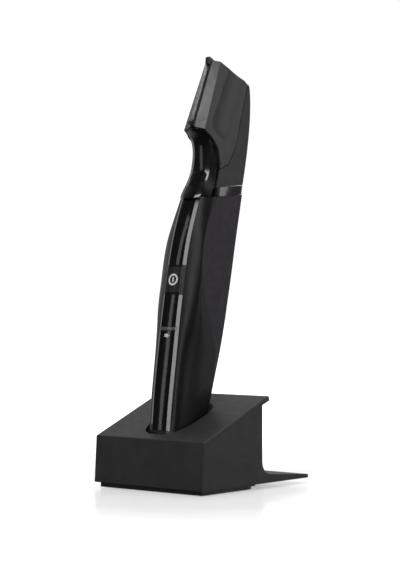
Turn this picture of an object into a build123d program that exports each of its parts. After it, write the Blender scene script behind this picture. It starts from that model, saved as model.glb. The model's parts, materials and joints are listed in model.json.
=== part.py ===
from build123d import *
import math
import os

# Body groomer standing in its charging stand. Millimetres.
# World frame: x across, y from front to back, z up, origin under the middle of the whole object.
# Groomer frame: x across, y from front to back, z along the handle; it leans back in the stand.

# ------------------------------------------------------------------ stand
stand_width = 66.5
stand_depth = 79.9
stand_wall = 2.2
plinth_height = 2.6          # height of the shell's lower edge above the table
front_height = 24.5
front_lean = 1.3             # how far the front face leans back at its top
lip_height = 43.6
lip_back = 48.7              # depth of the lip's rear edge
lip_thickness = 2.4
rear_wall_back = 43.8
foot_root = 4.4
foot_tip = 1.7
foot_fillet = 6.5
plinth_inset = 2.2
plinth_tongue = 13.0         # half width of the plinth under the foot
plinth_back = 68.0
pad_thickness = 0.8
pad_inset = 3.0
pad_proud = 0.3
screw_radius = 1.4
inlet_width = 9.5
inlet_height = 5.5
inlet_depth = 6.4
inlet_level = 18.0
inlet_wall = 1.6
contact_radius = 0.9         # of the inlet's pins
contact_spacing = 2.4        # of the inlet's pins, from the middle
pin_radius = 1.3             # of the charging pins in the cradle
well_gap = 2.0               # top opening round the handle
liner_gap = 0.6              # cradle liner to handle
liner_floor = 2.4
fit_gap = 0.05               # between pieces that are fastened together
seam_gap = 0.15              # between covers that show a seam
move_gap = 0.3               # between pieces that move past each other
lens_gap = 0.25              # dark line round the indicator lens

# ------------------------------------------------------------------ handle
lean = 12.0                  # degrees
seat_depth = 22.0            # groomer frame's origin in the stand, from the stand's front edge
seat_level = 14.0
handle_half_width = 12.6
handle_wall = 1.8
panel_half_width = 5.9
panel_depth = 3.6
panel_bevel = 1.5            # width of the sloping facet along each side of the panel
panel_drop = 0.9             # how far that facet falls back
panel_crown = 0.35           # how far the panel's middle stands forward
cap_bottom = 2.0
cap_seam = 11.0
cap_round = 2.6
cap_floor = 2.4
neck_seam = 127.0            # level of the handle's top seam on the handle's axis
neck_slope = 0.31            # rise of that seam towards the back
collar_height = 4.6
grip_thickness = 1.3
button_low = 75.4
button_high = 87.5
button_half_width = 4.5
button_travel = 0.6
button_proud = 0.2
frame_margin = 1.1
ring_radius = 2.8            # of the power mark
ring_stroke = 0.9
recess_depth = 2.2           # of the button's recess below the handle's front
stem_half = 2.2              # of the button's square stem
lamp_level = 58.3
lamp_height = 1.6
lamp_half_width = 4.7
mark_level = 55.0
terminal_spacing = 4.0       # of the charging contacts, from the middle
terminal_y = -4.0
terminal_radius = 1.8

# ------------------------------------------------------------------ inside the handle
battery_radius = 7.1
battery_length = 48.0
battery_low = 17.0
battery_y = -1.4
board_y = -12.4
board_thickness = 1.2
board_half_width = 6.6
motor_radius = 7.4
motor_length = 25.0
motor_low = 74.0
motor_y = 0.5
can_wall = 0.8
shaft_radius = 0.75
shaft_clearance = 0.05
cam_radius = 4.0
cam_low = 104.0
cam_thickness = 3.2
cam_throw = 1.2
cam_pin_radius = 0.8
cam_pin_length = 5.6

# ------------------------------------------------------------------ head and cassette
head_half_width = 7.5        # at the collar
head_taper = 0.036           # loss of half width per millimetre of height
edge_low = (-24.8, 157.5)    # ends of the cutting edge, as (y, z)
edge_high = (-19.0, 187.9)
edge_set_back = 2.9          # from the blade tips to the housing's bevel
slot_half_width = 1.1
bevel_depth = 4.8
bevel_half_width = 5.7
cassette_wall = 1.1
guard_half_width = 1.0
scoop_radius = 42.0
scoop_depth = 0.6
pivot = (1.2, 163.0)         # drive lever's pivot, as (y, z)
lever_pin_radius = 1.0
lever_reach = 15.5           # from the pivot to the drive pin
lever_half_thickness = 1.2
stem_half_width = 1.5
drive_pin_radius = 0.8
blade_thickness = 0.4
blade_depth = 7.0
tooth_pitch = 0.8
tooth_length = 1.4
tenon_half_width = 5.6       # of the head's root inside the collar
tenon_front = -7.2
tenon_back = 8.0

# ------------------------------------------------------------------ derived values
stand_half = stand_width / 2
liner_top = cap_bottom - 0.1 # cradle floor under the end cap, in the groomer frame
top_slope = (lip_height - front_height) / (lip_back - front_lean)
seat = Location((0, seat_depth - stand_depth / 2, seat_level), (-lean, 0, 0))
edge_run = (edge_high[0] - edge_low[0], edge_high[1] - edge_low[1])
edge_length = math.hypot(*edge_run)
edge_dir = (edge_run[0] / edge_length, edge_run[1] / edge_length)
edge_slope = edge_run[0] / edge_run[1]
drive_point = (pivot[0] - lever_reach * edge_dir[1], pivot[1] + lever_reach * edge_dir[0])
cam_top = cam_low + cam_thickness
cam_pin_top = cam_top + cam_pin_length
fork_half_gap = 2 * cam_throw + cam_pin_radius + 0.15
fork_jaw = 1.3
fork_half = fork_half_gap + fork_jaw

# Handle cross-sections: level, front depth, front strip share, ridge share, ridge depth, rear corner share,
# rear corner depth, rear depth, and the side's fullness at the strip (out, back) and ridge (out, forward).
HANDLE_SECTIONS = [
    (0, -15.2, 0.95, 0.75, 0.8, 0.70, 2.4, 7.0, (3.0, 0.8, 1.0, 7.0)),
    (12, -16.3, 0.98, 0.80, 2.0, 0.755, 3.6, 8.0, (3.7, 0.8, 1.2, 8.5)),
    (28, -17.9, 1.01, 0.855, 3.0, 0.805, 4.6, 9.3, (4.5, 0.9, 1.5, 9.0)),
    (45, -19.0, 1.02, 0.89, 3.4, 0.84, 5.6, 10.6, (5.1, 1.0, 1.8, 9.0)),
    (60, -19.8, 1.0, 0.985, -6.0, 0.86, 6.4, 11.9, (5.2, 1.2, 0.7, 6.0)),
    (74, -20.3, 0.985, 1.0, -13.3, 0.85, 6.8, 12.4, (3.9, 1.2, 0.2, 2.4)),
    (86, -20.5, 0.965, 0.968, -15.4, 0.84, 7.1, 12.7, (3.0, 0.9, -0.5, 1.0)),
    (101, -20.1, 0.95, 0.90, -15.9, 0.815, 7.4, 13.0, (2.8, 0.8, -0.4, 0.8)),
    (112, -18.8, 0.95, 0.86, -13.6, 0.79, 7.8, 13.3, (3.0, 0.9, -0.2, 1.0)),
    (123, -16.8, 0.92, 0.81, -9.9, 0.765, 8.2, 13.8, (3.0, 1.0, 0.1, 1.4)),
    (136, -13.4, 0.88, 0.75, -7.6, 0.725, 8.6, 14.4, (2.2, 1.0, 0.2, 1.5)),
]

# The line along the rear grip's front border, as (y, z) from the collar down to the rear.
GRIP_BORDER = [(-7.8, 128.5), (-9.8, 121.8), (-13.4, 113.5), (-15.5, 103.5), (-15.2, 91), (-12.0, 78),
               (-5.0, 64.8), (3.0, 51.6), (8.2, 43.6)]

# The concave front line of the neck, as (y, z) from the handle up to the chin, with the depth of the
# saddle behind it and its half width there.
NECK_LINE = [
    ((-19.0, 115.5), 7.4, 7.0),
    ((-16.7, 126.6), 6.8, 7.0),
    ((-14.8, 131.4), 6.2, 6.8),
    ((-13.6, 137.4), 5.6, 6.5),
    ((-13.8, 143.4), 5.0, 6.4),
    ((-15.9, 149.2), 2.6, 6.3),
    ((-18.9, 152.0), 1.3, 6.0),
    ((-22.6, 154.0), 0.8, 3.0),
]

# The head's lower front edge, as (y, z) from the chin down to the collar.
CHIN_LINE = [(-24.6, 156.5), (-22.2, 155.2), (-17.4, 152.6), (-12.6, 149.9), (-9.0, 146.6), (-7.2, 142.8),
             (-6.4, 138.4), (-6.9, 133.4), (-7.8, 127.0)]

# The cassette's rear boundary, as (y, z) from its tail up.
TAIL_LINE = [(-6.4, 138.4), (-0.4, 142.2), (3.8, 151.3), (8.1, 184.0)]

# The head's rear outline, as (z, y).
HEAD_REAR = [(118, 14.0), (131, 15.2), (142, 16.0), (154, 16.4), (166, 16.1), (176, 15.0), (184, 13.2),
             (190, 11.0)]


# ------------------------------------------------------------------ helpers
def block(low, high):
    size = [b - a for a, b in zip(low, high)]
    return Solid.make_box(*size, Plane(low))


def side_prism(points, half_width, shift=0.0):
    """Prism of an outline drawn in the (y, z) plane, from -half_width to +half_width across."""
    outline = Wire.make_polygon([(shift - half_width, y, z) for y, z in points])
    return Solid.extrude(Face(outline), Vector(2 * half_width, 0, 0))


def side_shape(edges, half_width):
    """Prism of a closed run of edges that lie in the plane x = -half_width."""
    return Solid.extrude(Face(Wire(edges)), Vector(2 * half_width, 0, 0))


def side_spline(points, x):
    return Edge.make_spline([(x, y, z) for y, z in points])


def side_lines(points, x):
    return [Edge.make_line((x, *a), (x, *b)) for a, b in zip(points, points[1:])]


def cross_pin(y, z, radius, half_length, middle=0.0):
    """Cylinder along x."""
    return Solid.make_cylinder(radius, 2 * half_length, Plane((middle - half_length, y, z), z_dir=(1, 0, 0)))


def post(x, y, z, radius, height):
    """Cylinder along z."""
    return Solid.make_cylinder(radius, height, Plane((x, y, z)))


def rod(x, y, z, radius, length):
    """Cylinder along y."""
    return Solid.make_cylinder(radius, length, Plane((x, y, z), z_dir=(0, 1, 0)))


def group(solids):
    return Compound(children=list(solids))


def slanted_slab(low, high, slope, reach=60.0):
    """Everything between two parallel planes that rise towards the back; levels are at y = 0."""
    return side_prism([(-reach, low - reach * slope), (reach, low + reach * slope),
                       (reach, high + reach * slope), (-reach, high - reach * slope)], reach)


# ------------------------------------------------------------------ handle form
def handle_wire(section, inset):
    z, front, strip, ridge, ridge_y, corner, corner_y, rear, fullness = section
    out, back, ridge_out, ridge_forward = fullness
    x_strip = strip * panel_half_width - 0.3 * inset
    x_ridge = ridge * handle_half_width - inset
    x_corner = corner * handle_half_width - inset
    y_front = front + inset
    y_bevel = y_front + panel_drop
    y_corner = corner_y - 0.3 * inset
    y_rear = rear - inset
    bulge = (y_rear - y_corner) / 0.75
    flat = x_strip - panel_bevel

    def side(m):
        bevel = Edge.make_line((m * flat, y_front, z), (m * x_strip, y_bevel, z))
        leave = (m * (x_strip + out - 0.4 * inset), y_bevel + back, z)
        arrive = (m * (x_ridge + ridge_out), ridge_y - ridge_forward, z)
        flank = Edge.make_bezier((m * x_strip, y_bevel, z), leave, arrive, (m * x_ridge, ridge_y, z))
        middle = ((x_ridge + x_corner) / 2 + 0.25, (ridge_y + y_corner) / 2)
        facet = Edge.make_three_point_arc((m * x_ridge, ridge_y, z), (m * middle[0], middle[1], z),
                                          (m * x_corner, y_corner, z))
        return [bevel, flank, facet]

    crown = (0, y_front - panel_crown, z)
    front_arc = Edge.make_three_point_arc((-flat, y_front, z), crown, (flat, y_front, z))
    rear_curve = Edge.make_bezier((x_corner, y_corner, z), (x_corner - 0.25, y_corner + bulge, z),
                                  (-x_corner + 0.25, y_corner + bulge, z), (-x_corner, y_corner, z))
    right = side(1)
    left = side(-1)
    return Wire([front_arc, *right, rear_curve, *left[::-1]])


def handle_form(inset=0.0):
    return Solid.make_loft([handle_wire(section, inset) for section in HANDLE_SECTIONS])


def strip_zone(gap=0.0):
    """Space of the front strip: a bar that follows the handle's front."""
    wires = []
    for z, front, strip, *_ in HANDLE_SECTIONS:
        x = strip * panel_half_width + gap
        back = front + panel_depth + gap
        wires.append(Wire.make_polygon([(-x, front - 5, z), (x, front - 5, z), (x, back, z), (-x, back, z)]))
    return Solid.make_loft(wires)


def grip_zone(gap=0.0):
    """Everything behind the rear grip's front border."""
    reach = 30.0
    border = [(y - gap, z - gap) for y, z in GRIP_BORDER]
    top, bottom = border[0], border[-1]
    edges = [side_spline(border, -reach)]
    edges += side_lines([bottom, (reach, bottom[1]), (reach, 150.0), (top[0], 150.0), top], -reach)
    return side_shape(edges, reach)


outer = handle_form()
inner = handle_form(handle_wall)
body_slab = slanted_slab(cap_seam, 200.0, 0.0) & slanted_slab(-200.0, neck_seam, neck_slope)
button_mid = (button_low + button_high) / 2
front_y = min(section[1] for section in HANDLE_SECTIONS)
recess_y = front_y + recess_depth


# ------------------------------------------------------------------ handle covers
def rear_grip():
    return (outer - handle_form(grip_thickness)) & grip_zone() & body_slab


def grip_pocket():
    return (handle_form(-1.0) - handle_form(grip_thickness + fit_gap)) & grip_zone(fit_gap)


def handle_shell():
    shell = (outer & body_slab) - inner
    shell = shell - strip_zone(fit_gap)
    return shell - grip_pocket()


def button_window(gap=0.0):
    margin = frame_margin - gap
    return block((-30, front_y - 5, button_low - margin), (30, recess_y - gap, button_high + margin))


def button_hole():
    gap = seam_gap
    return block((-button_half_width - gap, front_y - 5, button_low - gap),
                 (button_half_width + gap, front_y + 30, button_high + gap))


def lamp_slot(gap=0.0):
    half = lamp_height / 2 + gap
    return block((-lamp_half_width - gap, front_y - 5, lamp_level - half),
                 (lamp_half_width + gap, front_y + panel_depth + 1.1, lamp_level + half))


def front_panel():
    panel = outer & strip_zone() & body_slab
    panel = panel - button_window() - lamp_slot(lens_gap)
    opening = block((-button_half_width + 1.4, front_y, button_low + 1.4),
                    (button_half_width - 1.4, front_y + 10, button_high - 1.4))
    return panel - opening - charge_mark_zone()


def button_frame():
    return (outer & strip_zone() & button_window(fit_gap)) - button_hole()


def power_button():
    proud = handle_form(-button_proud)
    cap = proud & block((-button_half_width, front_y - 5, button_low),
                        (button_half_width, recess_y - button_travel - seam_gap, button_high))
    stem = block((-stem_half, recess_y - 1.2, button_mid - stem_half),
                 (stem_half, board_y - 3.6, button_mid + stem_half))
    return (cap + stem) - power_mark_tool()


def power_mark_tool():
    """Ring with a bar inside it, cut straight in along y."""
    start = front_y - 3
    depth = 3.25
    hole = ring_radius - ring_stroke
    ring = rod(0, start, button_mid, ring_radius, depth) - rod(0, start, button_mid, hole, depth)
    half = ring_stroke / 2
    bar = block((-half, start, button_mid - 0.6 * hole), (half, start + depth, button_mid + 0.6 * hole))
    return ring + bar


def power_mark():
    return power_mark_tool() & handle_form(-button_proud - 0.04)


def indicator_lens():
    slot = block((-lamp_half_width, front_y - 5, lamp_level - lamp_height / 2),
                 (lamp_half_width, front_y + panel_depth, lamp_level + lamp_height / 2))
    return slot & handle_form(0.12) & strip_zone(-0.2)


def charge_mark_zone():
    """Small plug outline: a body, two prongs and a lead."""
    back = front_y + 0.9
    front = front_y - 5
    body = block((-0.9, front, mark_level - 0.75), (0.9, back, mark_level + 0.75))
    prongs = [block((-1.7, front, mark_level + z - 0.15), (-0.9, back, mark_level + z + 0.15))
              for z in (-0.4, 0.4)]
    lead = block((0.9, front, mark_level - 0.15), (1.9, back, mark_level + 0.15))
    return body + prongs[0] + prongs[1] + lead


def charge_mark():
    return charge_mark_zone() & handle_form(-0.04)


def rounded_end():
    """Form that rounds the handle's lower rim in three steps."""
    steps = [(0.0, 1.0), (0.35, 0.35), (1.0, -0.1), (4.0, -1.2)]
    end = HANDLE_SECTIONS[0][1:]
    wires = [handle_wire((cap_bottom + cap_round * up, *end), cap_round * inward) for up, inward in steps]
    return Solid.make_loft(wires, ruled=True)


def end_cap():
    cap = outer & slanted_slab(cap_bottom, cap_seam - seam_gap, 0.0) & rounded_end()
    hollow = Solid.make_loft([handle_wire(section, handle_wall) for section in HANDLE_SECTIONS[:2]])
    cap = cap - (hollow - block((-30, -40, -9), (30, 40, cap_bottom + cap_floor)))
    for x in (-terminal_spacing, terminal_spacing):
        cap = cap - post(x, terminal_y, cap_bottom - 1, terminal_radius + fit_gap, 6)
    return cap


def charge_terminals():
    places = (-terminal_spacing, terminal_spacing)
    return group([post(x, terminal_y, cap_bottom, terminal_radius, cap_floor + 1.0) for x in places])


def end_cap_seal():
    ring = handle_form(handle_wall + 0.1) - handle_form(handle_wall + 1.4)
    return ring & slanted_slab(cap_seam - 1.8, cap_seam + 0.6, 0.0) - strip_zone(0.3)


# ------------------------------------------------------------------ inside the handle
def circuit_board():
    return block((-board_half_width, board_y, 14), (board_half_width, board_y + board_thickness, 103))


def push_switch():
    base = block((-3, board_y - 2.2, button_mid - 3), (3, board_y, button_mid + 3))
    return base + rod(0, board_y - 2.9, button_mid, 1.4, 1.0)


def button_seal():
    y = front_y + panel_depth + move_gap
    half = panel_half_width - 0.8
    hole = stem_half + move_gap
    sheet = block((-half, y + 0.02, button_low + 0.6), (half, y + 0.6, button_high - 0.6))
    return sheet - block((-hole, y - 1, button_mid - hole), (hole, y + 2, button_mid + hole))


def indicator_lamp():
    return block((-1.6, board_y - 1.1, lamp_level - 0.8), (1.6, board_y, lamp_level + 0.8))


def battery_cell():
    cell = post(0, battery_y, battery_low, battery_radius, battery_length)
    cell = cell.fillet(0.8, cell.edges())
    return cell + post(0, battery_y, battery_low + battery_length - 0.2, 2.4, 1.2)


def battery_tabs():
    low = block((-2.5, board_y + board_thickness, battery_low - 0.5), (2.5, battery_y + 3, battery_low))
    top_z = battery_low + battery_length + 1.0
    high = block((-2.5, board_y + board_thickness, top_z), (2.5, battery_y + 2, top_z + 0.4))
    return group([low, high])


def chassis():
    """Open tray: two side rails with saddles for the cell and a ring round the motor's nose."""
    y0 = board_y + board_thickness + fit_gap
    low, high = 14.5, motor_low + motor_length + 2.0
    rails = [block((m * 6.0 - 0.6, y0, low), (m * 6.0 + 0.6, y0 + 2.6, high)) for m in (-1, 1)]
    saddles = []
    for z in (battery_low + 6, battery_low + battery_length - 10):
        saddles.append(block((-6.6, y0, z), (6.6, battery_y, z + 3)))
    nose_z = motor_low + motor_length
    nose = block((-6.6, y0, nose_z + fit_gap), (6.6, motor_y + 5, nose_z + 2.0))
    foot = block((-6.6, y0, motor_low - 3.0), (6.6, motor_y + 4, motor_low - 1.2))
    tray = rails[0] + rails[1] + saddles[0] + saddles[1] + nose + foot
    tray = tray - post(0, battery_y, battery_low - 1, battery_radius + fit_gap, battery_length + 3)
    tray = tray - post(0, motor_y, motor_low - 1.2, motor_radius + fit_gap, motor_length + 1.2 + fit_gap)
    return tray - post(0, motor_y, nose_z - 1, 3.2, 5)


def motor_can():
    can = post(0, motor_y, motor_low, motor_radius, motor_length)
    can = can - post(0, motor_y, motor_low - 1, motor_radius - can_wall, motor_length + 1 - can_wall)
    boss = post(0, motor_y, motor_low + motor_length - can_wall, 3.0, can_wall + 1.6)
    return (can + boss) - post(0, motor_y, motor_low, shaft_radius + shaft_clearance, motor_length + 5)


def motor_end_bell():
    bell = post(0, motor_y, motor_low - 1.0, motor_radius - can_wall - fit_gap, 3.0)
    return bell - post(0, motor_y, motor_low, shaft_radius + shaft_clearance, 5)


def armature():
    core = post(0, motor_y, motor_low + 4, motor_radius - can_wall - 1.0, motor_length - 8)
    return core - post(0, motor_y, motor_low, shaft_radius, motor_length)


def motor_shaft():
    return post(0, motor_y, motor_low + 0.4, shaft_radius, cam_top - 0.6 - motor_low - 0.4)


def eccentric_cam():
    cam = post(0, motor_y, cam_low, cam_radius, cam_thickness)
    pin = post(cam_throw, motor_y, cam_top, cam_pin_radius, cam_pin_length)
    return (cam + pin) - post(0, motor_y, cam_low - 1, shaft_radius, cam_thickness + 0.4)


# ------------------------------------------------------------------ neck and head
def channel(gap=0.0):
    """Path of the drive lever through the neck; the lever's fork also lifts out along it."""
    half = fork_half + cam_throw + 0.3 - gap
    x = lever_half_thickness + 0.7 - gap
    return block((-x, motor_y - half, 90), (x, motor_y + half, 250))


def saddle_wire(index):
    (y, z), depth, half = NECK_LINE[index]
    before = NECK_LINE[max(index - 1, 0)][0]
    after = NECK_LINE[min(index + 1, len(NECK_LINE) - 1)][0]
    run = (after[0] - before[0], after[1] - before[1])
    length = math.hypot(*run)
    ty, tz = run[0] / length, run[1] / length
    ny, nz = tz, -ty                       # into the neck
    flat = 0.57 * half
    shoulder = 0.9 * half
    drop = min(panel_drop, 0.4 * depth)
    crown = panel_crown

    def point(x, d):
        return (x, y + ny * d, z + nz * d)

    front = Edge.make_three_point_arc(point(-flat, crown), point(0, 0), point(flat, crown))
    right = [Edge.make_line(point(flat, crown), point(shoulder, crown + drop)),
             Edge.make_line(point(shoulder, crown + drop), point(half, depth + crown))]
    back = Edge.make_line(point(half, depth + crown), point(-half, depth + crown))
    left = [Edge.make_line(point(-half, depth + crown), point(-shoulder, crown + drop)),
            Edge.make_line(point(-shoulder, crown + drop), point(-flat, crown))]
    return Wire([front, *right, back, *left])


def neck_cover():
    saddle = Solid.make_loft([saddle_wire(i) for i in range(len(NECK_LINE))])
    saddle = saddle & slanted_slab(neck_seam + seam_gap, 400, neck_slope)
    return saddle - head_side(fit_gap)


def head_side(gap=0.0):
    """Side profile of the head behind the chin line, as a wide prism."""
    x = -40.0
    line = [(y - gap, z - gap) for y, z in CHIN_LINE]
    first, last = line[0], line[-1]
    edges = [side_spline(line, x)]
    edges += side_lines([last, (last[0], 100), (60, 100), (60, 230), (first[0], 230), first], x)
    return side_shape(edges, 40.0)


def head_wire(z, rear):
    half = head_half_width - head_taper * (z - neck_seam)
    corner = rear - 4.8
    front = -34.0
    right = Edge.make_line((half, front, z), (half, corner, z))
    back = Edge.make_bezier((half, corner, z), (half - 0.4, rear + 1.6, z), (-half + 0.4, rear + 1.6, z),
                            (-half, corner, z))
    left = Edge.make_line((-half, corner, z), (-half, front, z))
    return Wire([Edge.make_line((-half, front, z), (half, front, z)), right, back, left])


def head_base():
    form = Solid.make_loft([head_wire(z, rear) for z, rear in HEAD_REAR])
    top = [(-40, 186.6), (8.0, 185.4), (9.8, 184.9), (11.4, 183.0), (24, 150), (24, 60), (-40, 60)]
    form = form & side_prism(top, 30)
    form = form & head_side() & slanted_slab(neck_seam + collar_height + seam_gap, 400, neck_slope)
    behind = [*TAIL_LINE, (8.4, 200), (40, 200), (40, 100), (-30, 100), (-30, TAIL_LINE[0][1])]
    form = form & side_prism(behind, 30)
    tenon = tenon_block(0.0, 117, 131) & slanted_slab(0, neck_seam + collar_height + 1, neck_slope)
    form = form + tenon
    return form - tenon_block(-1.3, 110, 129) - channel()


def tenon_block(gap, low, high):
    """The head's root, grown by a gap all round."""
    half = tenon_half_width + gap
    return block((-half, tenon_front - gap, low), (half, tenon_back + gap, high))


def collar_ring():
    ring = handle_form(0.25) & slanted_slab(neck_seam + seam_gap, neck_seam + collar_height, neck_slope)
    ring = ring - tenon_block(fit_gap, 110, 150)
    front = block((-30, -40, 100), (30, tenon_front - fit_gap, 150))
    saddle = Solid.make_loft([saddle_wire(i) for i in range(5)])
    return ring - saddle - front


def neck_seal():
    return tenon_block(-0.2, 115.2, 117 - fit_gap) - channel(0.35)


# ------------------------------------------------------------------ cassette
def cassette_wire(z, inset):
    tip = edge_low[0] + edge_slope * (z - edge_low[1])
    slot_y = tip + edge_set_back
    crease_y = tip + bevel_depth
    crease_x = bevel_half_width + 0.052 * (170 - z)
    rear_y = 3.8 + 0.1315 * (z - 151.3)
    rear_x = head_half_width - head_taper * (z - neck_seam)
    if inset:
        slot_y += 1.3 * inset
        crease_y += 0.35 * inset
        crease_x -= inset
        rear_x -= inset
        rear_y -= inset
    half = slot_half_width if not inset else 0.9 * slot_half_width
    right = [(half, slot_y, z), (crease_x, crease_y, z), (rear_x, rear_y, z)]
    return Wire.make_polygon([*right, *[(-x, y, level) for x, y, level in right[::-1]]])


def cassette_side(gap, wall=0.0):
    """Side profile of the cassette: chin line, tail, rear line and top edge."""
    x = -40.0
    shift = gap + wall
    chin = [(y + 0.3 * shift, z + shift) for y, z in CHIN_LINE[:5]]
    chin += [(y + shift, z + 0.3 * shift) for y, z in CHIN_LINE[5:6]]
    chin.append((CHIN_LINE[6][0] + 0.4 * gap + wall, CHIN_LINE[6][1] + 1.5 * gap + 0.5 * wall))
    tail = [(y - gap - 0.4 * wall, z + gap + 0.3 * wall) for y, z in TAIL_LINE[1:]]
    top = [(8.4 - shift, 185.2 - wall), (5.0, 186.5 - wall), (-5.6, 188.5 - wall), (-14.0, 190.2 - wall),
           (-19.0, 191.5 - wall), (-20.8 + wall, 188.8 - wall)]
    lip = [(-30.0, 158.6 + wall), (chin[0][0], chin[0][1] + 0.4)]
    edges = [side_spline(chin, x)]
    edges += side_lines([chin[-1], *tail, *top, (-23.0 + wall, 188.4 - wall), *lip, chin[0]], x)
    return side_shape(edges, 40.0)


def cassette_shell_form(inset=0.0):
    return Solid.make_loft([cassette_wire(134, inset), cassette_wire(194, inset)], ruled=True)


def guard_tips():
    """Blunt tips beyond both ends of the blade, flush with its points."""
    low_tip = [(-24.9, 156.6), (-24.3, 158.0), (-20.0, 158.6), (-19.4, 154.6), (-22.2, 155.8)]
    high_tip = [(-18.2, 188.2), (-18.5, 191.2), (-17.7, 191.8), (-12.0, 190.4), (-12.6, 186.8)]
    return side_prism(low_tip, guard_half_width), side_prism(high_tip, guard_half_width)


def scoop():
    """Long shallow hollow in each side wall, for finger and thumb; its lower end runs out in a curve."""
    radius = scoop_radius
    run = Vector(0, 6.0, 25.0)
    tools = []
    for m in (-1, 1):
        surface = head_half_width - head_taper * (160 - neck_seam)
        base = Vector(m * (surface + radius - scoop_depth), -9.2, 158.0)
        axis = run + Vector(-m * head_taper * run.Z, 0, 0)
        plane = Plane(base, x_dir=(1, 0, 0), z_dir=axis)
        reach = 60.0
        corners = [plane.from_local_coords(p) for p in ((0, 0, -6), (radius - 2.2, 0, -6), (radius, 0, 3),
                                                        (radius, 0, reach), (0, 0, reach))]
        bend = plane.from_local_coords((radius - 0.55, 0, -1.8))
        closed = [*corners[2:], corners[0], corners[1]]
        edges = [Edge.make_line(a, b) for a, b in zip(closed, closed[1:])]
        edges.append(Edge.make_three_point_arc(corners[1], bend, corners[2]))
        tools.append(Solid.revolve(Face(Wire(edges)), 360, Axis(base, axis)))
    return tools


def cassette_housing():
    housing = cassette_shell_form() & cassette_side(move_gap)
    cavity = cassette_shell_form(cassette_wall) & cassette_side(move_gap, cassette_wall + 0.2)
    housing = housing - cavity
    for tip in guard_tips():
        housing = housing + tip
    top = edge_length - 0.2
    slot = [edge_place(s, d) for s, d in ((0.2, -6), (top, -6), (top, 9), (0.2, 9))]
    housing = housing - side_prism(slot, slot_half_width - 0.1)
    for tool in scoop():
        housing = housing - tool
    boss = cross_pin(*pivot, 2.2, 6.0) - cross_pin(*pivot, 9.0, lever_half_thickness + move_gap)
    housing = housing + (boss & cassette_shell_form(0.4))
    housing = housing - cross_pin(*pivot, lever_pin_radius, 5.0)
    return housing - (channel(0.3) & block((-20, -60, 0), (20, 60, 158)))


def lever_pin():
    return cross_pin(*pivot, lever_pin_radius, 5.0 - fit_gap)


def edge_place(s, d):
    """Side view point s up along the cutting edge from its lower end and d back from it."""
    return (edge_low[0] + edge_dir[0] * s + edge_dir[1] * d, edge_low[1] + edge_dir[1] * s - edge_dir[0] * d)


def blade_outline(back, first, last, pitch, tooth, gap):
    """Comb along the cutting edge: distances run up from its lower end, depths run back from its tips."""
    points = []
    count = int((last - first) / pitch)
    for i in range(count):
        start = first + i * pitch
        points += [(start, 0.0), (start + gap, 0.0), (start + gap, tooth), (start + pitch, tooth)]
    points += [(last, tooth), (last, back), (first, back)]
    return [edge_place(s, d) for s, d in points]


def fixed_blade():
    outline = blade_outline(blade_depth, 0.5, edge_length - 0.5, tooth_pitch, tooth_length, 0.7 * tooth_pitch)
    return side_prism(outline, blade_thickness / 2, -0.25)


def moving_blade():
    outline = blade_outline(blade_depth - 0.3, 1.6, edge_length - 1.6, 1.3 * tooth_pitch, tooth_length,
                            0.6 * tooth_pitch)
    outline = [(y + 0.25, z) for y, z in outline]
    return side_prism(outline, blade_thickness / 2, 0.19)


def along(point, s, d):
    """Point moved s along the cutting edge and d back from it."""
    return (point[0] + edge_dir[0] * s + edge_dir[1] * d, point[1] + edge_dir[1] * s - edge_dir[0] * d)


def carrier_outline(back, front, half):
    corners = [(-half, front), (half, front), (half, back), (-half, back)]
    return [along(drive_point, s, d) for s, d in corners]


def blade_carrier():
    front = side_prism(carrier_outline(-1.9, -4.1, 5.0), 1.25, 1.66)
    arm = side_prism(carrier_outline(2.2, -2.4, 3.0), 0.75, 2.16)
    window = side_prism(carrier_outline(1.4, -1.2, drive_pin_radius + 0.05), 3, 2.16)
    return (front + arm) - window


def blade_holder():
    return side_prism(carrier_outline(-1.9, -4.1, 7.0), 1.1, -1.57)


def blade_screws():
    places = [along(drive_point, s, -2.9) for s in (-5, 5)]
    return group([cross_pin(y, z, 0.8, 0.7, -3.4) for y, z in places])


def blade_spring():
    outline = carrier_outline(-2.2, -3.8, 6.5)
    return side_prism(outline, 0.12, 3.1)


def drive_lever():
    py, pz = pivot
    hub = cross_pin(py, pz, 2.4, lever_half_thickness)
    arm_ends = [along(drive_point, s, 0) for s in (-1.5, 1.5)]
    root_ends = [along((py, pz), s, 0) for s in (1.9, -1.9)]
    arm = side_prism([*arm_ends, *root_ends], lever_half_thickness)
    tip = cross_pin(*drive_point, 1.5, lever_half_thickness)
    drive_pin = cross_pin(*drive_point, drive_pin_radius, 1.5, 1.5)
    fork_top = cam_pin_top + 2.2
    stem = side_prism([(motor_y - stem_half_width, fork_top - 1), (motor_y + stem_half_width, fork_top - 1),
                       (py + stem_half_width, pz), (py - stem_half_width, pz)], lever_half_thickness)
    fork = block((-lever_half_thickness, motor_y - fork_half, cam_top + 0.8),
                 (lever_half_thickness, motor_y + fork_half, fork_top))
    mouth = block((-9, motor_y - fork_half_gap, cam_low), (9, motor_y + fork_half_gap, cam_pin_top + 0.6))
    fork = fork - mouth
    lever = hub + arm + tip + drive_pin + stem + fork
    return lever - cross_pin(py, pz, lever_pin_radius + 0.05, 9)


# ------------------------------------------------------------------ stand
def stand_y(depth):
    """World y of a depth measured back from the stand's front lower edge."""
    return depth - stand_depth / 2


def top_level(depth):
    return front_height + top_slope * (depth - front_lean)


def stand_profile():
    under = lip_height - lip_thickness
    wall_top = top_level(rear_wall_back) - lip_thickness
    root = plinth_height + foot_root
    tip = plinth_height + foot_tip
    front_and_top = [(0, plinth_height), (front_lean, front_height), (lip_back, lip_height)]
    rear_wall = [(lip_back + 0.5, under), (rear_wall_back, wall_top), (rear_wall_back, root)]
    return [*front_and_top, *rear_wall, (stand_depth, tip), (stand_depth, plinth_height)]


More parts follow.
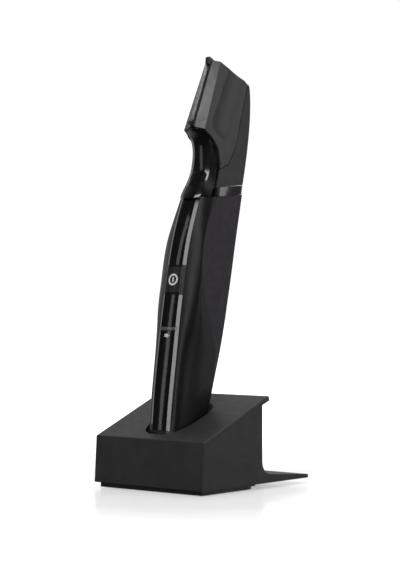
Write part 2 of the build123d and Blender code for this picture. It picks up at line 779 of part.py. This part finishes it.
def stand_solid():
    body = side_prism([(stand_y(y), z) for y, z in stand_profile()], stand_half)
    low = plinth_height + foot_root + 0.1
    crook = [e for e in body.edges() if e.length > stand_width - 1 and e.center().Z < low
             and abs(e.center().Y - stand_y(rear_wall_back)) < 0.1]
    body = body.fillet(foot_fillet, crook)
    top_face = [f for f in body.faces() if f.normal_at().Z > 0.8 and f.center().Z > front_height]
    body = body.fillet(0.7, top_face[0].edges())
    upright = [e for e in body.edges() if abs(e.center().X) > stand_half - 0.1 and e.center().Y < stand_y(2.0)
               and e.length > 10]
    return body.fillet(0.5, upright)


def stand_cavity(inset):
    front = front_lean + inset
    back = rear_wall_back - inset
    drop = inset * math.hypot(1, top_slope)
    points = [(front, 0), (front, top_level(front) - drop), (back, top_level(back) - drop), (back, 0)]
    return side_prism([(stand_y(y), z) for y, z in points], stand_half - inset)


def well(gap, low, high):
    return seat * (handle_form(-gap) & slanted_slab(low, high, 0.0))


def stand_shell():
    shell = stand_solid() - stand_cavity(stand_wall)
    for x, y in screw_places():
        boss = post(x, y, plinth_height + 2.4 + fit_gap, 3.2, 40) & stand_cavity(stand_wall - 0.1)
        shell = shell + boss
        shell = shell - post(x, y, 0, screw_radius + fit_gap, plinth_height + 7)
    shell = shell - well(well_gap, 0.5, 60)
    port_x = inlet_width / 2 + inlet_wall + fit_gap
    port_z = inlet_height / 2 + inlet_wall + fit_gap
    port = block((-port_x, stand_y(30), inlet_level - port_z),
                 (port_x, stand_y(rear_wall_back + 1), inlet_level + port_z))
    return shell - port


def plinth_face(inset, z):
    """Outline of the plinth under the box and, narrowing in a curve, under the foot."""
    half = stand_half - plinth_inset - inset
    tongue = plinth_tongue - inset
    front, back = stand_y(plinth_inset + inset), stand_y(plinth_back - inset)
    neck = rear_wall_back + 8.0
    curve = [(half, stand_y(33.0)), (half - 1.5, stand_y(40.0)), (tongue + 4, stand_y(neck - 1)),
             (tongue, stand_y(neck + 6))]
    right = [(x, y, z) for x, y in curve]
    left = [(-x, y, z) for x, y in curve]
    rear = [right[-1], (tongue, back, z), (-tongue, back, z), left[-1]]
    nose = [left[0], (-half, front, z), (half, front, z), right[0]]
    straight = [Edge.make_line(a, b) for run in (rear, nose) for a, b in zip(run, run[1:])]
    return Face(Wire([*straight[3:], Edge.make_spline(right), *straight[:3], Edge.make_spline(left[::-1])]))


def plinth_solid(inset, low, high):
    return Solid.extrude(plinth_face(inset, low), Vector(0, 0, high - low))


def screw_places():
    return [(m * (stand_half - 12), stand_y(y)) for m in (-1, 1) for y in (9.0, 36.0)]


def stand_base():
    base = plinth_solid(0, pad_proud, plinth_height - fit_gap)
    pocket_wall = stand_wall + 0.2
    spigot = stand_cavity(pocket_wall) & block((-99, -99, plinth_height - 1), (99, 99, plinth_height + 2.4))
    base = base + spigot
    base = base - plinth_solid(pad_inset - fit_gap, -1, pad_thickness + fit_gap)
    for x, y in screw_places():
        base = base - post(x, y, -1, screw_radius + fit_gap, 9)
    return base


def stand_pad():
    return plinth_solid(pad_inset, 0, pad_thickness)


def stand_screws():
    screws = []
    for x, y in screw_places():
        screws.append(post(x, y, pad_thickness + 0.1, screw_radius, plinth_height + 4.0))
    return group(screws)


def ballast_plate():
    low = plinth_height + 2.4 + fit_gap
    return block((-16, stand_y(7), low), (16, stand_y(40), low + 2.3))


def cradle_liner():
    low = liner_top - liner_floor
    under_shell = stand_wall + fit_gap
    reach = well(well_gap - fit_gap, 0.01, 60) & stand_band(under_shell, 90)
    cup = reach + seat * block((-11.5, -18.5, low), (11.5, 10.8, 0.02))
    flange = well(5.0, 0.5, 60) & stand_band(under_shell, under_shell + 1.5) & stand_cavity(under_shell)
    liner = cup + flange
    liner = liner - well(liner_gap, liner_top, 80)
    for x in (-terminal_spacing, terminal_spacing):
        liner = liner - seat * post(x, terminal_y, low - 1, pin_radius + fit_gap, 8)
    return liner


def stand_band(low, high):
    """Slab parallel to the sloping top, between two depths below it."""
    scale = math.hypot(1, top_slope)
    points = [(-20, top_level(-20) - low * scale), (90, top_level(90) - low * scale),
              (90, top_level(90) - high * scale), (-20, top_level(-20) - high * scale)]
    return side_prism([(stand_y(y), z) for y, z in points], 60)


def charge_pins():
    low = liner_top - liner_floor - 3.0
    pins = []
    for x in (-terminal_spacing, terminal_spacing):
        barrel = post(x, terminal_y, low, pin_radius, 3.0 + liner_floor - 0.4)
        plunger = post(x, terminal_y, low + 1, 0.8, cap_bottom - fit_gap - low - 1)
        pins.append(seat * (barrel + plunger))
    return group(pins)


def charge_board():
    high = liner_top - liner_floor - 0.3
    board = block((-11, -13, high - 1.4), (11, 6, high))
    for x in (-terminal_spacing, terminal_spacing):
        board = board - post(x, terminal_y, high - 5, pin_radius + fit_gap, 9)
    return seat * board


def inlet_socket():
    half_x = inlet_width / 2 + inlet_wall
    half_z = inlet_height / 2 + inlet_wall
    back = rear_wall_back
    front = back - inlet_depth - 1.8
    low, high = inlet_level - half_z, inlet_level + half_z
    body = block((-half_x, stand_y(front), low), (half_x, stand_y(back), high))
    rim = 1.5
    flange = block((-half_x - rim, stand_y(back - stand_wall - 1.3), low - rim),
                   (half_x + rim, stand_y(back - stand_wall - fit_gap), high + rim))
    mouth = block((-inlet_width / 2, stand_y(back - inlet_depth), inlet_level - inlet_height / 2),
                  (inlet_width / 2, stand_y(back + 2), inlet_level + inlet_height / 2))
    long_edges = mouth.edges().filter_by(Axis.Y)
    mouth = mouth.fillet(inlet_height / 2 - 0.4, long_edges)
    socket = (body + flange) - mouth
    for x in (-contact_spacing, contact_spacing):
        socket = socket - rod(x, stand_y(front - 1), inlet_level, contact_radius + fit_gap, 5)
    return socket


def inlet_contacts():
    front = rear_wall_back - inlet_depth - 3.4
    places = (-contact_spacing, contact_spacing)
    return group([rod(x, stand_y(front), inlet_level, contact_radius, 3.3) for x in places])


# ------------------------------------------------------------------ assembly
GROOMER = {
    "handle_shell": handle_shell,
    "rear_grip": rear_grip,
    "front_panel": front_panel,
    "button_frame": button_frame,
    "power_button": power_button,
    "power_mark": power_mark,
    "button_seal": button_seal,
    "indicator_lens": indicator_lens,
    "charge_mark": charge_mark,
    "indicator_lamp": indicator_lamp,
    "end_cap": end_cap,
    "charge_terminals": charge_terminals,
    "end_cap_seal": end_cap_seal,
    "circuit_board": circuit_board,
    "push_switch": push_switch,
    "battery_cell": battery_cell,
    "battery_tabs": battery_tabs,
    "chassis": chassis,
    "motor_can": motor_can,
    "motor_end_bell": motor_end_bell,
    "armature": armature,
    "motor_shaft": motor_shaft,
    "eccentric_cam": eccentric_cam,
    "neck_cover": neck_cover,
    "collar_ring": collar_ring,
    "head_base": head_base,
    "neck_seal": neck_seal,
    "cassette_housing": cassette_housing,
    "lever_pin": lever_pin,
    "fixed_blade": fixed_blade,
    "moving_blade": moving_blade,
    "blade_carrier": blade_carrier,
    "blade_holder": blade_holder,
    "blade_screws": blade_screws,
    "blade_spring": blade_spring,
    "drive_lever": drive_lever,
}
STAND = {
    "stand_shell": stand_shell,
    "stand_base": stand_base,
    "stand_pad": stand_pad,
    "stand_screws": stand_screws,
    "ballast_plate": ballast_plate,
    "cradle_liner": cradle_liner,
    "charge_pins": charge_pins,
    "charge_board": charge_board,
    "inlet_socket": inlet_socket,
    "inlet_contacts": inlet_contacts,
}


def write(name, shape, place):
    solids = [place * solid for solid in shape.solids()]
    export_step(solids[0] if len(solids) == 1 else group(solids), f"parts/{name}.step")


os.makedirs("parts", exist_ok=True)
for name, make in GROOMER.items():
    write(name, make(), seat)
for name, make in STAND.items():
    write(name, make(), Location())
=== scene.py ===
"""Looks of the body groomer in its charging stand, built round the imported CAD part."""

import json
import math

import bmesh
import bpy
from mathutils import Matrix, Vector


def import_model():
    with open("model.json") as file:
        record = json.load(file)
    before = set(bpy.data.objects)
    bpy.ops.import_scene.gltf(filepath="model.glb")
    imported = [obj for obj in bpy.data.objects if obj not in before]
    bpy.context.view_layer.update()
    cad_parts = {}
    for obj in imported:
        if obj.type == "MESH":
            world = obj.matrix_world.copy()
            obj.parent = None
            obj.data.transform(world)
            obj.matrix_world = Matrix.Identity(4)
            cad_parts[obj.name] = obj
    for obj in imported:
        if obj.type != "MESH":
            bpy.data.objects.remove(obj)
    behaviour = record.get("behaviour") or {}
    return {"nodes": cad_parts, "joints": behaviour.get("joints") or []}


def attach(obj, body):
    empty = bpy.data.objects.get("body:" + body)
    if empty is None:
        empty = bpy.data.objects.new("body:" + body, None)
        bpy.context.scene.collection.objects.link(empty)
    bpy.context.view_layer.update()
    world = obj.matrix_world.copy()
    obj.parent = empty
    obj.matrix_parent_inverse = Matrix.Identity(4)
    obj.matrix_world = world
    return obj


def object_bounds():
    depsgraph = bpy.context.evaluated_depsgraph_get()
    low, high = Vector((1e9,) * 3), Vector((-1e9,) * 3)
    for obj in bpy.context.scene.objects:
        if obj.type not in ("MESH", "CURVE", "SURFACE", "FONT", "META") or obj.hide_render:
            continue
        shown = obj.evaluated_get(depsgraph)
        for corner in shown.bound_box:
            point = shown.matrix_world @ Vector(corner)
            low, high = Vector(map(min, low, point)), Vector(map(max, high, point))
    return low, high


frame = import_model()
cad_low, cad_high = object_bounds()
nodes = frame["nodes"]

MM = 0.001

CAMERA_PLACE = (0.5330, -0.64555, 0.0913)
CAMERA_AZIMUTH = 39.62
CAMERA_PITCH = 0.29
CAMERA_LENS = 110.6

ROOM_DIM = 0.035             # strength of the dim room that the object reflects
ROOM_WALL = 0.55             # strength of the pale wall behind the object
WALL_EDGE = 0.15             # cosine from the wall's middle where it begins, and where it is full
WALL_FULL = 0.9
BACKDROP = 1.05              # strength of the white that the camera sees
STREAK = (1.0, 0.96, 1.0)    # colour of the lamp for the panel's streak
FLOOR_PAINTED_SHADOW = 0.42            # glow of the tabletop beside the object, lowered there as a painted shadow, and away from it
FLOOR_FAR = 1.0
SHADOW_FADE_START = 0.09            # distances from the object's middle over which the painted shadow fades up into the full glow
SHADOW_FADE_END = 0.26
FLOOR_HALF = 4.0             # half the tabletop's width
FLOOR_SQUARES = 40
FLOOR_DROP = 0.02            # millimetres under the object, so that no two surfaces share a plane


def camera():
    """The camera, in front and to the right of the groomer, level with the middle of its handle."""
    data = bpy.data.cameras.new("camera")
    data.lens = CAMERA_LENS
    data.clip_start = 0.05
    made = bpy.data.objects.new("camera", data)
    bpy.context.scene.collection.objects.link(made)
    made.location = CAMERA_PLACE
    made.rotation_euler = (math.radians(90 + CAMERA_PITCH), 0, math.radians(CAMERA_AZIMUTH))
    bpy.context.scene.camera = made


def softbox(name, azimuth, height, distance, size, power, colour=(1, 1, 1)):
    """A rectangular lamp of that size and wattage round the object, aimed at its middle."""
    middle = (cad_low + cad_high) / 2
    turn = math.radians(azimuth)
    data = bpy.data.lights.new(name, "AREA")
    data.shape = "RECTANGLE"
    data.size, data.size_y = size
    data.energy = power
    data.color = colour
    made = bpy.data.objects.new(name, data)
    bpy.context.scene.collection.objects.link(made)
    made.location = Vector(
        (middle.x + distance * math.sin(turn), middle.y - distance * math.cos(turn), height)
    )
    made.rotation_euler = (middle - made.location).to_track_quat("-Z", "Y").to_euler()


def lamps():
    """Each lamp is there for the surface named beside it."""
    softbox("front_strip", 25, 0.22, 0.60, (0.12, 0.80), 1.5, colour=STREAK)  # panel's right facet
    softbox("facet_light", 1, 0.70, 0.50, (0.24, 0.24), 1.5)  # cassette's facet beside the blade
    softbox("neck_strip", 16, 0.40, 0.60, (0.06, 0.30), 0.25)  # neck
    softbox("blade_light", 112, 0.30, 0.55, (0.08, 0.16), 0.30)  # blade
    softbox("panel_strip", -36, 0.22, 0.60, (0.08, 0.60), 0.17)  # panel's middle
    softbox("flank_right", 138, 0.18, 0.62, (0.11, 0.60), 0.42)  # grip, cassette and stand on the right
    softbox("flank_low", 98, 0.15, 0.62, (0.12, 0.20), 0.30)  # handle's right flank
    softbox("side_left", -86, 0.20, 0.62, (0.30, 0.70), 0.35)  # panel's left facet
    softbox("overhead", 190, 0.80, 0.25, (0.7, 0.7), 2.2)  # stand's sloping top and foot


def world():
    """A white room for the camera. What the object reflects is a dim room with a pale wall behind it."""
    made = bpy.data.worlds.new("studio")
    bpy.context.scene.world = made
    made.use_nodes = True
    tree = made.node_tree
    tree.nodes.clear()
    output = tree.nodes.new("ShaderNodeOutputWorld")
    mix = tree.nodes.new("ShaderNodeMixShader")
    seen = tree.nodes.new("ShaderNodeLightPath")
    room = tree.nodes.new("ShaderNodeBackground")
    white = tree.nodes.new("ShaderNodeBackground")
    place = tree.nodes.new("ShaderNodeTexCoord")
    toward = tree.nodes.new("ShaderNodeVectorMath")
    level = tree.nodes.new("ShaderNodeMapRange")
    toward.operation = "DOT_PRODUCT"
    turn = math.radians(CAMERA_AZIMUTH)
    toward.inputs[1].default_value = (-math.sin(turn), math.cos(turn), 0)
    level.interpolation_type = "SMOOTHSTEP"
    level.inputs["From Min"].default_value = WALL_EDGE
    level.inputs["From Max"].default_value = WALL_FULL
    level.inputs["To Min"].default_value = ROOM_DIM
    level.inputs["To Max"].default_value = ROOM_WALL
    tree.links.new(place.outputs["Generated"], toward.inputs[0])
    tree.links.new(toward.outputs["Value"], level.inputs["Value"])
    tree.links.new(level.outputs["Result"], room.inputs["Strength"])
    room.inputs["Color"].default_value = (1, 1, 1, 1)
    white.inputs["Color"].default_value = (1, 1, 1, 1)
    white.inputs["Strength"].default_value = BACKDROP
    tree.links.new(seen.outputs["Is Camera Ray"], mix.inputs["Fac"])
    tree.links.new(room.outputs[0], mix.inputs[1])
    tree.links.new(white.outputs[0], mix.inputs[2])
    tree.links.new(mix.outputs[0], output.inputs["Surface"])


# ---- material building blocks ----
class Finish:
    """A node tree with one shader, whose patterns are measured in millimetres on the part itself."""

    def __init__(self, name):
        self.material = bpy.data.materials.new(name)
        self.material.use_nodes = True
        self.tree = self.material.node_tree
        self.shader = self.tree.nodes["Principled BSDF"]
        self.place = self.add("ShaderNodeTexCoord").outputs["Object"]

    def add(self, kind):
        return self.tree.nodes.new(kind)

    def link(self, start, end):
        self.tree.links.new(start, end)

    def noise(self, size, detail=2.0, stretch=(1, 1, 1), roughness=0.5):
        """Cloudy pattern whose blobs are about that many millimetres across."""
        mapping = self.add("ShaderNodeMapping")
        mapping.inputs["Scale"].default_value = stretch
        self.link(self.place, mapping.inputs["Vector"])
        made = self.add("ShaderNodeTexNoise")
        made.inputs["Scale"].default_value = 1 / (size * MM)
        made.inputs["Detail"].default_value = detail
        made.inputs["Roughness"].default_value = roughness
        self.link(mapping.outputs["Vector"], made.inputs["Vector"])
        return made.outputs["Fac"]

    def cells(self, size):
        """Rounded pebbles about that many millimetres across."""
        made = self.add("ShaderNodeTexVoronoi")
        made.feature = "SMOOTH_F1"
        made.inputs["Scale"].default_value = 1 / (size * MM)
        self.link(self.place, made.inputs["Vector"])
        return made.outputs["Distance"]

    def spread(self, source, low, high, start=0.3, end=0.7):
        """Maps a pattern's middle range onto low to high."""
        made = self.add("ShaderNodeMapRange")
        made.inputs["From Min"].default_value = start
        made.inputs["From Max"].default_value = end
        made.inputs["To Min"].default_value = low
        made.inputs["To Max"].default_value = high
        self.link(source, made.inputs["Value"])
        return made.outputs["Result"]

    def blend(self, source, first, second):
        """Colour that drifts between two with a pattern."""
        made = self.add("ShaderNodeMix")
        made.data_type = "RGBA"
        made.inputs["A"].default_value = (*first, 1)
        made.inputs["B"].default_value = (*second, 1)
        self.link(source, made.inputs["Factor"])
        return made.outputs["Result"]

    def height(self, *layers):
        """Bump from layers of (pattern, depth in millimetres), finest last."""
        normal = None
        for pattern, depth in layers:
            made = self.add("ShaderNodeBump")
            made.inputs["Distance"].default_value = depth * MM
            made.inputs["Strength"].default_value = 1.0
            self.link(pattern, made.inputs["Height"])
            if normal:
                self.link(normal, made.inputs["Normal"])
            normal = made.outputs["Normal"]
        self.link(normal, self.shader.inputs["Normal"])

    def set(self, **values):
        for key, value in values.items():
            self.shader.inputs[key.replace("_", " ")].default_value = value


def scaled(colour, factor):
    """Lighter or darker colour."""
    return tuple(min(1.0, c * factor) for c in colour)


def plastic(name, colour, gloss, grain, depth, drift=0.18, **values):
    """Moulded plastic: spark-eroded grain, and a slow drift of colour and gloss."""
    made = Finish(name)
    clouds = made.noise(9.0, 4.0)
    made.link(
        made.blend(made.spread(clouds, 0, 1), scaled(colour, 1 - drift), scaled(colour, 1 + drift)),
        made.shader.inputs["Base Color"],
    )
    smear = made.noise(3.5, 5.0, roughness=0.6)
    made.link(made.spread(smear, gloss[0], gloss[1]), made.shader.inputs["Roughness"])
    made.height((made.noise(grain * 4, 2.0), depth * 0.6), (made.noise(grain, 3.0, roughness=0.7), depth))
    made.set(**values)
    return made.material


def metal(name, colour, gloss, stretch, depth=0.004, drift=0.06):
    """Brushed or drawn metal: fine lines along one direction."""
    made = Finish(name)
    lines = made.noise(0.9, 5.0, stretch=stretch, roughness=0.7)
    made.link(
        made.blend(made.spread(lines, 0, 1), scaled(colour, 1 - drift), scaled(colour, 1 + drift)),
        made.shader.inputs["Base Color"],
    )
    made.link(made.spread(lines, gloss[0], gloss[1]), made.shader.inputs["Roughness"])
    made.height((lines, depth))
    made.set(Metallic=1.0)
    return made.material


def rubber(name, colour, pebble=0.5, depth=0.02):
    """Soft-touch elastomer: tiny pebbles, no shine."""
    made = Finish(name)
    clouds = made.noise(12.0, 3.0)
    made.link(
        made.blend(made.spread(clouds, 0, 1), scaled(colour, 0.85), scaled(colour, 1.15)),
        made.shader.inputs["Base Color"],
    )
    made.link(made.spread(made.noise(2.5, 4.0), 0.55, 0.68), made.shader.inputs["Roughness"])
    made.height((made.cells(pebble), depth))
    made.set(Specular_IOR_Level=0.35)
    return made.material


def print_ink(name, colour):
    """Pad-printed mark: thin ink that shows the grain of what it lies on."""
    made = Finish(name)
    made.link(
        made.blend(made.spread(made.noise(0.25, 2.0), 0, 1), scaled(colour, 0.88), colour),
        made.shader.inputs["Base Color"],
    )
    made.link(made.spread(made.noise(0.6, 2.0), 0.42, 0.6), made.shader.inputs["Roughness"])
    made.height((made.noise(0.12, 2.0), 0.004))
    return made.material


# One finish for each material slot. Colours are linear, and grain and pebble sizes are millimetres.
FINISHES = {
    "shell_black": lambda n: plastic(
        n, (0.010, 0.010, 0.0105), (0.36, 0.44), 0.16, 0.006, Specular_IOR_Level=0.25
    ),
    "frame_black": lambda n: plastic(
        n, (0.002, 0.002, 0.002), (0.30, 0.38), 0.14, 0.003, Specular_IOR_Level=0.25
    ),
    "button_black": lambda n: plastic(n, (0.012, 0.012, 0.013), (0.30, 0.38), 0.14, 0.005),
    "grip_soft": lambda n: rubber(n, (0.036, 0.031, 0.039), 0.35, 0.012),
    "gloss_black": lambda n: plastic(
        n, (0.006, 0.006, 0.0064), (0.08, 0.13), 1.6, 0.0012, Coat_Weight=0.35, Coat_Roughness=0.04
    ),
    "gloss_neck": lambda n: plastic(
        n, (0.006, 0.006, 0.0064), (0.12, 0.18), 1.4, 0.0014, Coat_Weight=0.25, Coat_Roughness=0.05
    ),
    "cap_black": lambda n: plastic(n, (0.0075, 0.0075, 0.008), (0.34, 0.44), 0.16, 0.006),
    "head_grey": lambda n: plastic(n, (0.017, 0.016, 0.018), (0.40, 0.50), 0.16, 0.006),
    "cassette_grey": lambda n: plastic(n, (0.024, 0.022, 0.023), (0.30, 0.38), 0.14, 0.004),
    "collar_smoke": lambda n: plastic(n, (0.014, 0.014, 0.015), (0.10, 0.16), 0.5, 0.002, Coat_Weight=0.5),
    "stand_black": lambda n: plastic(n, (0.027, 0.027, 0.029), (0.46, 0.56), 0.22, 0.012),
    "plinth_black": lambda n: plastic(n, (0.016, 0.016, 0.017), (0.42, 0.52), 0.20, 0.010),
    "liner_black": lambda n: plastic(
        n, (0.003, 0.003, 0.003), (0.45, 0.55), 0.20, 0.006, Specular_IOR_Level=0.2
    ),
    "inner_plastic": lambda n: plastic(n, (0.30, 0.30, 0.29), (0.40, 0.50), 0.18, 0.006, drift=0.06),
    "board_green": lambda n: plastic(n, (0.012, 0.09, 0.035), (0.28, 0.40), 0.30, 0.010, drift=0.25),
    "cell_jacket": lambda n: plastic(n, (0.03, 0.16, 0.24), (0.22, 0.30), 0.50, 0.004, drift=0.1),
    "lens_smoke": lambda n: plastic(
        n, (0.10, 0.11, 0.11), (0.14, 0.22), 0.4, 0.002, Coat_Weight=0.6, Coat_Roughness=0.05
    ),
    "seal_rubber": lambda n: rubber(n, (0.012, 0.012, 0.012)),
    "white_print": lambda n: print_ink(n, (0.86, 0.86, 0.85)),
    "blade_steel": lambda n: metal(n, (0.95, 0.95, 0.94), (0.26, 0.34), (1, 0.08, 1), 0.0003),
    "plain_steel": lambda n: metal(n, (0.62, 0.62, 0.63), (0.26, 0.40), (1, 1, 0.1)),
    "contact_brass": lambda n: metal(n, (0.80, 0.58, 0.26), (0.18, 0.30), (1, 1, 0.15)),
    "winding_copper": lambda n: metal(n, (0.72, 0.33, 0.16), (0.28, 0.40), (0.1, 1, 4)),
}


made_finishes = {}


def finish_of(slot):
    """The finish of a material slot, made once."""
    if slot not in made_finishes:
        made_finishes[slot] = FINISHES[slot]("finish_" + slot)
    return made_finishes[slot]


def dress_nodes():
    """Every CAD node takes the finish of its own material slot."""
    for node in nodes.values():
        slot = node.material_slots[0].material.name.split(".")[0]
        node.material_slots[0].material = finish_of(slot)


# ---- pieces added to the CAD nodes, in the groomer's own frame: millimetres, z along the handle ----
LIFT_AXIS = Vector(next(j for j in frame["joints"] if j["name"] == "groomer_lift")["axis"])
LEAN = math.atan2(LIFT_AXIS.y, LIFT_AXIS.z)
SEAT_DEPTH = 22.0            # groomer frame's origin behind the stand's front edge, and above the table
SEAT_LEVEL = 14.0
SEAT = Vector((0, cad_low.y / MM + SEAT_DEPTH, SEAT_LEVEL))
EDGE_LOW = Vector((0, -24.8, 157.5))       # ends of the cutting edge
EDGE_HIGH = Vector((0, -19.0, 187.9))
EDGE_SLOPE = (EDGE_HIGH.y - EDGE_LOW.y) / (EDGE_HIGH.z - EDGE_LOW.z)
SLOT_HALF = 1.1              # half width of the cassette at the blade's slot
FACET_START = 2.9            # facet's front and rear border, behind the cutting edge
FACET_END = 4.8
FACET_HALF = 5.7             # half width at the facet's rear border, at FACET_LEVEL
FACET_LEVEL = 170.0
FACET_SPREAD = 0.052         # gain of that half width per millimetre down
HEAD_HALF = 7.5              # half width of the cassette's side, at HEAD_LEVEL
HEAD_LEVEL = 127.0
HEAD_TAPER = 0.036           # loss of that half width per millimetre up


def seated(point):
    """Point of the groomer's frame, in the shared frame in metres."""
    tilt = Matrix.Rotation(-LEAN, 3, "X")
    return (tilt @ point + SEAT) * MM


def add_mesh(name, mesh, body, slot):
    """New object from a mesh, with a finish, that moves with a body."""
    bmesh.ops.recalc_face_normals(mesh, faces=mesh.faces)
    data = bpy.data.meshes.new(name)
    mesh.to_mesh(data)
    mesh.free()
    made = bpy.data.objects.new(name, data)
    bpy.context.scene.collection.objects.link(made)
    data.materials.append(finish_of(slot))
    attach(made, body)
    return made


def skin(mesh, rings):
    """Closed surface through rings of points of the groomer's frame."""
    rings = [[mesh.verts.new(seated(point)) for point in ring] for ring in rings]
    for low, high in zip(rings, rings[1:]):
        for k in range(len(low)):
            after = (k + 1) % len(low)
            mesh.faces.new((low[k], low[after], high[after], high[k]))
    mesh.faces.new(rings[0][::-1])
    mesh.faces.new(rings[-1])


BEAD_SIDES = 10
BEAD_STEPS = 6               # rings between two points of its path
BEAD_TIP = 0.25              # share of its radius at both ends
BEAD_TAPER = 3               # rings over which it reaches its full radius


def smooth_path(points):
    """Points of a smooth curve through the given ones."""
    ahead = 2 * points[-1] - points[-2]
    behind = 2 * points[0] - points[1]
    padded = [behind, *points, ahead]
    made = []
    for a, b, c, d in zip(padded, padded[1:], padded[2:], padded[3:]):
        for i in range(BEAD_STEPS):
            t = i / BEAD_STEPS
            square = 2 * a - 5 * b + 4 * c - d
            cube = 3 * b - a - 3 * c + d
            made.append(0.5 * (2 * b + (c - a) * t + square * t**2 + cube * t**3))
    return [*made, points[-1]]


def bead(name, points, radius, body, slot):
    """Thin rounded bead that runs smoothly through points of the groomer's frame and tapers at its ends."""
    centres = smooth_path([Vector(point) for point in points])
    last = len(centres) - 1
    rings = []
    for i, centre in enumerate(centres):
        ahead = centres[min(i + 1, last)] - centres[max(i - 1, 0)]
        across = ahead.cross(Vector((1, 0, 0))).normalized()
        up = across.cross(ahead).normalized()
        share = min(1.0, min(i, last - i) / BEAD_TAPER)
        size = radius * (BEAD_TIP + (1 - BEAD_TIP) * share)
        turns = [2 * math.pi * k / BEAD_SIDES for k in range(BEAD_SIDES)]
        rings.append([centre + size * (math.cos(turn) * across + math.sin(turn) * up) for turn in turns])
    mesh = bmesh.new()
    skin(mesh, rings)
    made = add_mesh(name, mesh, body, slot)
    for face in made.data.polygons:
        face.use_smooth = True


# The cassette's lower front edge, as (y, z) from the blade down to the handle.
CHIN = [(-23.6, 156.6), (-22.2, 155.5), (-17.4, 152.9), (-12.6, 150.2), (-9.0, 146.9), (-7.2, 143.1),
        (-6.3, 139.4)]
RIM_RADIUS = 0.42
RIM_SINK = 0.15              # how far the rim sits in from the side's surface, and back and up from the edge
RIM_BACK = 0.25
RIM_UP = 0.2


def cassette_half(y, z):
    """Half width of the cassette's surface there: the facet beside the blade, then the flat side."""
    flat = HEAD_HALF - HEAD_TAPER * (z - HEAD_LEVEL)
    tip = EDGE_LOW.y + EDGE_SLOPE * (z - EDGE_LOW.z)
    share = (y - tip - FACET_START) / (FACET_END - FACET_START)
    if share >= 1:
        return flat
    border = FACET_HALF + FACET_SPREAD * (FACET_LEVEL - z)
    return min(flat, SLOT_HALF + (border - SLOT_HALF) * max(0.0, share))


def chin_beads():
    """The rounded rim along the cassette's lower edge, on both sides."""
    for side, name in ((1, "chin_rim_right"), (-1, "chin_rim_left")):
        path = [(side * (cassette_half(y, z) - RIM_SINK), y + RIM_BACK, z + RIM_UP) for y, z in CHIN]
        bead(name, path, RIM_RADIUS, "cassette", "cassette_grey")


# The lip's section on one side, as (x, distance behind the cutting edge).
BED_SECTION = [(0.25, 1.75), (0.25, 3.1), (0.9, 3.1), (0.62, 1.75)]
BED_MARGIN = 0.4             # of the lip from both ends of the cutting edge
BED_ROUNDING = 0.08


def blade_gap_shade():
    """Near-black lip between the blade and the housing, along the cutting edge: a dark piece that paints the
    shade of the gap there.
    """
    along = (EDGE_HIGH - EDGE_LOW).normalized()
    back = Vector((0, along.z, -along.y))
    length = (EDGE_HIGH - EDGE_LOW).length
    mesh = bmesh.new()
    for side in (1, -1):
        ends = []
        for at in (BED_MARGIN, length - BED_MARGIN):
            place = EDGE_LOW + along * at
            ends.append([place + back * depth + Vector((side * x, 0, 0)) for x, depth in BED_SECTION])
        skin(mesh, ends)
    # painted shade: this near-black lip stands for the shaded gap beside the blade
    made = add_mesh("blade_gap_shade", mesh, "cassette", "frame_black")
    edge = made.modifiers.new("rounding", "BEVEL")
    edge.width = BED_ROUNDING * MM
    edge.segments = 2


def floor():
    """A pale tabletop with a faint polish, glowing white away from the object and dimmer near it: a painted
    shadow round the object.
    """
    mesh = bmesh.new()
    bmesh.ops.create_grid(mesh, x_segments=FLOOR_SQUARES, y_segments=FLOOR_SQUARES, size=FLOOR_HALF)
    data = bpy.data.meshes.new("floor")
    mesh.to_mesh(data)
    mesh.free()
    made = bpy.data.objects.new("floor", data)
    bpy.context.scene.collection.objects.link(made)
    made.location.z = cad_low.z - FLOOR_DROP * MM
    finish = Finish("finish_floor")
    clouds = finish.spread(finish.noise(60.0, 3.0), 0, 1)
    drift = finish.blend(clouds, (0.93, 0.93, 0.93), (0.97, 0.97, 0.97))
    finish.link(drift, finish.shader.inputs["Base Color"])
    finish.link(finish.spread(finish.noise(20.0, 2.0), 0.15, 0.19), finish.shader.inputs["Roughness"])
    away = finish.add("ShaderNodeVectorMath")
    away.operation = "LENGTH"
    finish.link(finish.place, away.inputs[0])
    # painted shadow: the tabletop's glow is lower near the object's middle than away from it
    glow_with_painted_shadow = finish.spread(away.outputs["Value"], FLOOR_PAINTED_SHADOW, FLOOR_FAR, start=SHADOW_FADE_START, end=SHADOW_FADE_END)
    finish.link(glow_with_painted_shadow, finish.shader.inputs["Emission Strength"])
    finish.set(Specular_IOR_Level=0.5, Emission_Color=(1, 1, 1, 1))
    data.materials.append(finish.material)
    made.visible_glossy = False
    made.visible_diffuse = False


camera()
world()
lamps()
bpy.context.scene.view_settings.view_transform = "Standard"
dress_nodes()
chin_beads()
blade_gap_shade()
floor()
